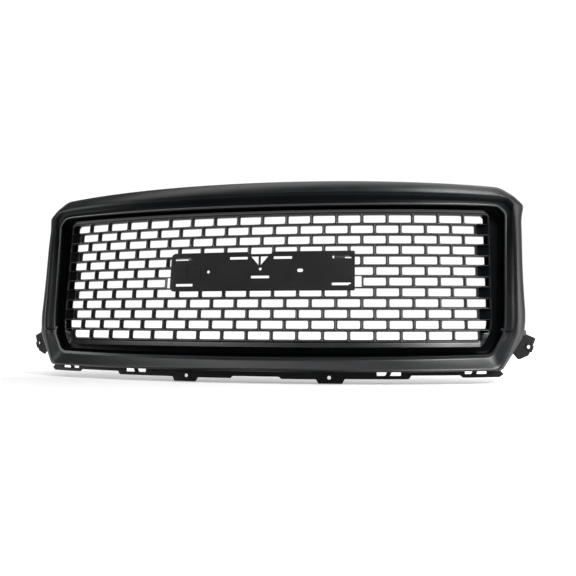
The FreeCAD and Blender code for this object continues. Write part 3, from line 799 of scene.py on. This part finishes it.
# Corners of the plate, anticlockwise from the top right: x, z and radius.
BADGE_CORNERS = [(BADGE_RIGHT, BADGE_TOP, 3.0), (BADGE_LEFT, BADGE_TOP, 11.0),
                 (BADGE_LEFT, BADGE_BOTTOM, 11.0), (BADGE_RIGHT, BADGE_BOTTOM, 3.0)]
CORNER_STEPS = 5
# Slots (x, z), and their width, height and corner radius.
SLOTS = [(-179, 42), (-48, 42), (52, 42), (182, 42), (-175, -17.5), (181, -17.5), (2, -1)]
SLOT_SIZE = (41, 5.6, 1.0)
LOCATING_HOLES = [(-118, 12, 3.3), (2, 17, 3.1)]
# Parts raised from the plate's face: a square frame and two ribs of a V.
FRAME_CENTRE = (-155.5, 12)
FRAME_SIZES = [(36, 2), (32.4, 1.4)]
FRAME_PROUD = 0.8
RIB_PROUD = 0.6
RAISED_T = 1.6
FINE_CUTS = 12.0
# Foot behind each screw: profile as (radius, distance along the axis).
FOOT_PROFILE = [(1.9, 0.0), (4.7, 0.0), (5.0, -0.3), (5.2, -6.6), (1.9, -6.6)]
FOOT_SEAT = -5.2


def badge_outline():
    """Return the plate's edge: round corners at the left, small ones at the right, a notch on top."""
    points = []
    for turn, (cx, cz, corner) in enumerate(BADGE_CORNERS):
        inward_x = -corner if cx > 0 else corner
        inward_z = -corner if cz > 0 else corner
        for step in range(CORNER_STEPS + 1):
            angle = 0.5 * pi * (turn + step / CORNER_STEPS)
            points.append((cx + inward_x + corner * cos(angle), cz + inward_z + corner * sin(angle)))
        if turn == 0:
            points += [(28, BADGE_TOP), (26, BADGE_TOP - 4), (24, BADGE_TOP - 5),
                       (-24, BADGE_TOP - 5), (-26, BADGE_TOP - 4), (-28, BADGE_TOP)]
    return points


def build_badge_plate():
    """Return the badge plate with its slots, V notch, locating holes and moulded outline."""
    outlines = [badge_outline()]
    outlines += [rounded_rectangle(x, z, *SLOT_SIZE) for x, z in SLOTS]
    outlines.append(rounded_rectangle(91, 13, 12.7, 7.4, 3.6, 6))
    outlines += [circle(*hole) for hole in LOCATING_HOLES]
    outlines += [[(side * 2.5, 45), (side * 19, 45), (side * 2.5, 26)] for side in (-1, 1)]
    pieces = [plate("badge_carrier", outlines, BADGE_FRONT, BADGE_T, bevel=0.6, cut_every=FINE_CUTS)]
    squares = [rounded_rectangle(*FRAME_CENTRE, size, size, corner) for size, corner in FRAME_SIZES]
    pieces.append(plate("line_frame", squares, BADGE_FRONT - FRAME_PROUD, RAISED_T, bevel=0.4,
                        cut_every=FINE_CUTS))
    for side in (-1, 1):
        rib = [(side * 21.5, 47), (side * 23.5, 47), (side * 2.0, 20.5), (side * 0.6, 22.0)]
        pieces.append(plate("v_rib", [rib], BADGE_FRONT - RIB_PROUD, RAISED_T, bevel=0.3,
                            cut_every=FINE_CUTS))
    vertices, faces = [], []
    for x, z in BADGE_SCREWS:
        lathe(vertices, faces, FOOT_PROFILE, place(x, z, FOOT_SEAT), face_axis(x))
    pieces.append(mesh_object("feet", vertices, faces))
    return joined("badge_carrier", pieces)


# ---- lower rail and side brackets -----------------------------------------------------------------

RAIL_FRONT = -13.0
RAIL_T = 3.0
RAIL_TOP = -181.0
RAIL_STEPS = [(0, 53, -216), (53, 132, -220.5), (132, 187, -229), (187, 325, -219.5),
              (325, 432, -212), (432, 516, -217)]
# Outer end of the rail, from the low corner up.
RAIL_END = [(523, -211), (516, -203), (503, RAIL_TOP)]
# Snap windows (x, z, width), half their height, and the slant of the side next to the hook.
RAIL_WINDOWS = [(265.5, -208, 19), (295.5, -208, 21), (447, -205, 15), (475.5, -205, 20)]
WINDOW_HALF_H = 4.5
SLANT_LOW = 2.0
SLANT_HIGH = 3.0
WINDOW_ROUND = 1.2
STEP_ROUND = 1.6
STEP_SLANT = 2.5
# Bolt tabs: the hole and its radius, and the raised pad round it.
RAIL_HOLE_X = 157.0
RAIL_HOLE_Z = -217.0
RAIL_HOLE_R = 4.5
PAD_SIZE = (22, 18, 3)
PAD_HOLE_R = 5.6
# A rounding takes at most this share of a side; corners with shorter sides stay sharp.
LONGEST_CUT = 0.45
SHORTEST_CUT = 0.05


def softened(points, cut):
    """Return a polygon with every corner rounded off by a short curve."""
    result = []
    count = len(points)
    for i, corner in enumerate(points):
        before, after = points[i - 1], points[(i + 1) % count]
        length_before = hypot(corner[0] - before[0], corner[1] - before[1])
        length_after = hypot(corner[0] - after[0], corner[1] - after[1])
        near = min(cut, LONGEST_CUT * length_before)
        far = min(cut, LONGEST_CUT * length_after)
        if near < SHORTEST_CUT or far < SHORTEST_CUT:
            result.append(corner)
            continue
        start = mix(corner, before, near / length_before)
        stop = mix(corner, after, far / length_after)
        result += [curve_point(start, corner, stop, k / 3) for k in range(4)]
    return result


def rail_outline():
    """Return the rail's stepped outline as (x, z) points."""
    lower = []
    for x_from, x_to, z in RAIL_STEPS:
        lower += [(x_from + STEP_SLANT, z), (x_to - STEP_SLANT, z)]
    right = lower[1:] + RAIL_END
    return softened(right + [(-x, z) for x, z in reversed(right)], STEP_ROUND)


def rail_window(side, k):
    """Return a snap window of the rail; its side next to the hook is slanted."""
    x, z, width = RAIL_WINDOWS[k]
    left = x - 0.5 * width
    right = x + 0.5 * width
    low = z - WINDOW_HALF_H
    high = z + WINDOW_HALF_H
    if k % 2:
        outline = [(left - SLANT_LOW, low), (right, low), (right, high), (left + SLANT_HIGH, high)]
    else:
        outline = [(left, low), (right - SLANT_LOW, low), (right + SLANT_HIGH, high), (left, high)]
    return softened([(side * px, pz) for px, pz in outline], WINDOW_ROUND)


def build_lower_rail():
    """Return the lower rail: stepped web with windows and bolt tabs, top ledge and pads."""
    outlines = [rail_outline()]
    outlines += [rail_window(side, k) for side in (-1, 1) for k in range(len(RAIL_WINDOWS))]
    outlines += [circle(side * RAIL_HOLE_X, RAIL_HOLE_Z, RAIL_HOLE_R) for side in (-1, 1)]
    pieces = [plate("lower_strip", outlines, RAIL_FRONT, RAIL_T, bevel=0.5)]
    ledge_outline = rounded_rectangle(0, RAIL_TOP - 1, 990, 2.0, 0.4, 2)
    pieces.append(plate("ledge", [ledge_outline], RAIL_FRONT + 1, 9.0, bevel=0.3))
    for side in (-1, 1):
        x = side * RAIL_HOLE_X
        pad = [rounded_rectangle(x, RAIL_HOLE_Z, *PAD_SIZE), circle(x, RAIL_HOLE_Z, PAD_HOLE_R)]
        pieces.append(plate("pad", pad, RAIL_FRONT - 0.8, 1.4, bevel=0.3))
    return joined("lower_strip", pieces)


SIDE_PLATE = [(553, -87), (567, -87), (569, -120), (576, -126), (600, -136), (581, -173),
              (557, -182), (545, -168), (546, -118)]
SIDE_HOLE = (582.0, -154.5)
SIDE_HOLE_R = 4.25
SIDE_ROUND = 4.0
SIDE_SEAT = -12.0
SIDE_T = 2.5


def build_side_bracket(side, name):
    """Return a side tab with softened corners and its bolt hole."""
    edge = [(side * x, z) for x, z in softened(SIDE_PLATE, SIDE_ROUND)]
    hole = circle(side * SIDE_HOLE[0], SIDE_HOLE[1], SIDE_HOLE_R)
    return plate(name, [edge, hole], SIDE_SEAT, SIDE_T, bevel=0.5, cut_every=FINE_CUTS)


# ---- materials ------------------------------------------------------------------------------------

# Where the painted shade is full: the specular level, and the share of the colour that stays.
PAINTED_SHADE_SPECULAR = 0.06
PAINTED_SHADE_COLOUR = 0.6


def surface(name, colour, roughness, metallic=0.0, spread=0.25, grain=900.0, bump=0.12, mottle=14.0,
            rough_spread=0.08, specular=0.5, painted_shade_and_gloss=False):
    """Return a node material: a fine grain in the bump, slow mottling in the colour and roughness."""
    made = bpy.data.materials.new(name)
    made.use_nodes = True
    nodes = made.node_tree.nodes
    links = made.node_tree.links
    shader = nodes["Principled BSDF"]
    shader.inputs["Metallic"].default_value = metallic
    shader.inputs["Specular IOR Level"].default_value = specular
    where = nodes.new("ShaderNodeTexCoord")
    slow = nodes.new("ShaderNodeTexNoise")
    slow.inputs["Scale"].default_value = mottle
    slow.inputs["Detail"].default_value = 4.0
    links.new(where.outputs["Object"], slow.inputs["Vector"])
    tint = nodes.new("ShaderNodeValToRGB")
    tint.color_ramp.elements[0].position = 0.3
    tint.color_ramp.elements[1].position = 0.7
    tint.color_ramp.elements[0].color = (*[c * (1 - spread) for c in colour], 1)
    tint.color_ramp.elements[1].color = (*[c * (1 + spread) for c in colour], 1)
    links.new(slow.outputs["Fac"], tint.inputs["Fac"])
    links.new(tint.outputs["Color"], shader.inputs["Base Color"])
    # Painted shade and gloss: the attribute cuts the colour and the specular level in the recesses and
    # near the top crest, and raises the specular level on the lip bead and the ridges.
    if painted_shade_and_gloss:
        share = nodes.new("ShaderNodeAttribute")
        share.attribute_name = "painted_shade_and_gloss"
        gloss = nodes.new("ShaderNodeMapRange")
        gloss.inputs["From Min"].default_value = -1.0
        gloss.inputs["To Min"].default_value = 2 * specular
        gloss.inputs["To Max"].default_value = PAINTED_SHADE_SPECULAR
        links.new(share.outputs["Fac"], gloss.inputs["Value"])
        links.new(gloss.outputs["Result"], shader.inputs["Specular IOR Level"])
        shade = nodes.new("ShaderNodeMapRange")
        shade.inputs["To Min"].default_value = 1.0
        shade.inputs["To Max"].default_value = PAINTED_SHADE_COLOUR
        links.new(share.outputs["Fac"], shade.inputs["Value"])
        darker = nodes.new("ShaderNodeVectorMath")
        darker.operation = "SCALE"
        links.new(tint.outputs["Color"], darker.inputs["Vector"])
        links.new(shade.outputs["Result"], darker.inputs["Scale"])
        links.new(darker.outputs["Vector"], shader.inputs["Base Color"])
    rough = nodes.new("ShaderNodeMapRange")
    rough.inputs["To Min"].default_value = roughness - rough_spread
    rough.inputs["To Max"].default_value = roughness + rough_spread
    fine = nodes.new("ShaderNodeTexNoise")
    fine.inputs["Scale"].default_value = grain
    fine.inputs["Detail"].default_value = 2.0
    links.new(where.outputs["Object"], fine.inputs["Vector"])
    links.new(slow.outputs["Fac"], rough.inputs["Value"])
    links.new(rough.outputs["Result"], shader.inputs["Roughness"])
    relief = nodes.new("ShaderNodeBump")
    relief.inputs["Strength"].default_value = bump
    relief.inputs["Distance"].default_value = 0.0004
    links.new(fine.outputs["Fac"], relief.inputs["Height"])
    links.new(relief.outputs["Normal"], shader.inputs["Normal"])
    return made


SHELL = surface("shell_plastic", (0.0050, 0.0058, 0.0070), 0.38, painted_shade_and_gloss=True)
MESH = surface("mesh_plastic", (0.0050, 0.0056, 0.0066), 0.34, painted_shade_and_gloss=True)
PLATE = surface("plate_plastic", (0.0085, 0.0088, 0.0096), 0.52, grain=1400.0, bump=0.18, specular=0.35)
RAIL = surface("rail_plastic", (0.0040, 0.0043, 0.0050), 0.50, specular=0.22)
TAB = surface("tab_coating", (0.0045, 0.0047, 0.0052), 0.55, specular=0.2)
BRACKET = surface("bracket_steel", (0.020, 0.020, 0.022), 0.42, metallic=0.4, grain=700.0)
SPRING = surface("spring_steel", (0.26, 0.26, 0.235), 0.38, metallic=0.9, grain=600.0)
SCREW = surface("screw_steel", (0.33, 0.32, 0.27), 0.34, metallic=1.0, mottle=90.0)
FOAM = surface("seal_foam", (0.012, 0.012, 0.012), 0.93, grain=380.0, bump=0.9, rough_spread=0.04)


def finish_piece(piece, material, slot, *nodes):
    """Give a piece its material, body and the CAD nodes it stands for; the slot argument is not used."""
    piece.data.materials.clear()
    piece.data.materials.append(material)
    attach(piece, "root")
    if nodes:
        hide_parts(*nodes)


def keep_node(name, material):
    """Give a CAD node that stays visible its material."""
    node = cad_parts[name]
    node.data.materials.clear()
    node.data.materials.append(material)


finish_piece(build_surround(), SHELL, "shell_plastic", "surround_shell")
finish_piece(build_mesh_insert(), MESH, "mesh_plastic", "mesh_insert")
finish_piece(build_badge_plate(), PLATE, "plate_plastic", "badge_plate")
finish_piece(build_lower_rail(), RAIL, "rail_plastic", "lower_rail")
finish_piece(build_side_bracket(-1, "side_tab_left"), TAB, "rail_plastic", "side_bracket_left")
finish_piece(build_side_bracket(1, "side_tab_right"), TAB, "rail_plastic", "side_bracket_right")

for node_name, material in {
    "badge_spring_clips": SPRING, "rail_spring_clips": RAIL,
    "upper_bracket_left": BRACKET, "upper_bracket_centre": BRACKET, "upper_bracket_right": BRACKET,
    "upper_clip_nuts": SPRING, "side_clip_nuts": TAB,
    "insert_screws": SCREW, "badge_screws": SCREW, "rail_screws": SCREW,
    "upper_bracket_screws": SCREW, "side_bracket_screws": SCREW,
    "upper_seal_strip": FOAM, "lower_seal_strip": FOAM,
}.items():
    keep_node(node_name, material)


# ---- floor, light and camera ----------------------------------------------------------------------

CENTRE = Vector((0, MESH_Y, MESH_Z)) * MM

# Floor, in metres: the gap under the object, half the width, how many squares across, and over
# which distance behind the object its glow rises, from the front value to the rear one.
FLOOR_GAP = 0.0005
FLOOR_HALF = 9.0
FLOOR_STEPS = 6
GLOW_FROM = 0.0
GLOW_TO = 0.5
GLOW_FRONT = 0.12
GLOW_REAR = 0.9


def build_floor():
    """Return a pale floor under the object's lowest point; it glows behind the object."""
    level = CAD_BOX[0][2] - FLOOR_GAP
    half = FLOOR_HALF
    steps = FLOOR_STEPS
    vertices = [(-half + 2 * half * i / steps, -half + 2 * half * j / steps, level)
                for i in range(steps + 1) for j in range(steps + 1)]
    row = steps + 1
    corners = [i * row + j for i in range(steps) for j in range(steps)]
    faces = [(k, k + row, k + row + 1, k + 1) for k in corners]
    data = bpy.data.meshes.new("floor")
    data.from_pydata(vertices, [], faces)
    made = bpy.data.objects.new("floor", data)
    bpy.context.scene.collection.objects.link(made)
    paint = surface("floor_paint", (0.86, 0.86, 0.86), 0.7, spread=0.01, grain=60.0, bump=0.02)
    nodes = paint.node_tree.nodes
    links = paint.node_tree.links
    nodes["Principled BSDF"].inputs["Emission Color"].default_value = (1, 1, 1, 1)
    where = nodes.new("ShaderNodeTexCoord")
    parts = nodes.new("ShaderNodeSeparateXYZ")
    glow = nodes.new("ShaderNodeMapRange")
    glow.inputs["From Min"].default_value = GLOW_FROM
    glow.inputs["From Max"].default_value = GLOW_TO
    glow.inputs["To Min"].default_value = GLOW_FRONT
    glow.inputs["To Max"].default_value = GLOW_REAR
    links.new(where.outputs["Object"], parts.inputs["Vector"])
    links.new(parts.outputs["Y"], glow.inputs["Value"])
    links.new(glow.outputs["Result"], nodes["Principled BSDF"].inputs["Emission Strength"])
    data.materials.append(paint)
    return made


build_floor()


def area_light(name, position, size, power):
    """Add a rectangular softbox that points at the object."""
    data = bpy.data.lights.new(name, "AREA")
    data.shape = "RECTANGLE"
    data.size, data.size_y = size
    data.energy = power
    lamp = bpy.data.objects.new(name, data)
    lamp.location = position
    lamp.rotation_euler = (CENTRE - Vector(position)).to_track_quat("-Z", "Y").to_euler()
    bpy.context.scene.collection.objects.link(lamp)


area_light("top_softbox", (-0.1, 0.22, 1.6), (3.6, 0.6), 18)
area_light("front_strip", (0.3, -1.4, 1.75), (2.4, 0.2), 5)
area_light("key_softbox", (1.35, -0.55, 1.75), (0.6, 0.6), 34)
area_light("right_softbox", (2.0, -0.15, 0.7), (0.8, 1.4), 17)
area_light("left_fill", (-2.4, -0.9, 0.6), (0.8, 1.4), 20)

# The world is bright behind the object and dim on the camera's side.
world = bpy.data.worlds.new("studio")
bpy.context.scene.world = world
world.use_nodes = True
sky_nodes = world.node_tree.nodes
sky_links = world.node_tree.links
direction = sky_nodes.new("ShaderNodeTexCoord")
parts = sky_nodes.new("ShaderNodeSeparateXYZ")
sky_links.new(direction.outputs["Generated"], parts.inputs["Vector"])
ramp = sky_nodes.new("ShaderNodeMapRange")
ramp.inputs["From Min"].default_value = 0.45
ramp.inputs["From Max"].default_value = 0.72
ramp.inputs["To Min"].default_value = 0.06
ramp.inputs["To Max"].default_value = 1.05
sky_links.new(parts.outputs["Y"], ramp.inputs["Value"])
sky_links.new(ramp.outputs["Result"], sky_nodes["Background"].inputs["Strength"])
sky_nodes["Background"].inputs["Color"].default_value = (1, 1, 1, 1)

bpy.context.scene.view_settings.view_transform = "Standard"

# The camera's place from the mesh centre, in metres, and its angles in radians.
CAMERA_OFFSET = Vector((0.280, -1.288, -0.0854))
CAMERA_TILT = 0.046
CAMERA_TURN = 0.1671
camera_data = bpy.data.cameras.new("camera")
camera_data.lens = 36.98
camera_data.sensor_width = 36.0
camera = bpy.data.objects.new("camera", camera_data)
camera.location = CENTRE + CAMERA_OFFSET
camera.rotation_euler = (0.5 * pi + CAMERA_TILT, 0, CAMERA_TURN)
bpy.context.scene.collection.objects.link(camera)
bpy.context.scene.camera = camera
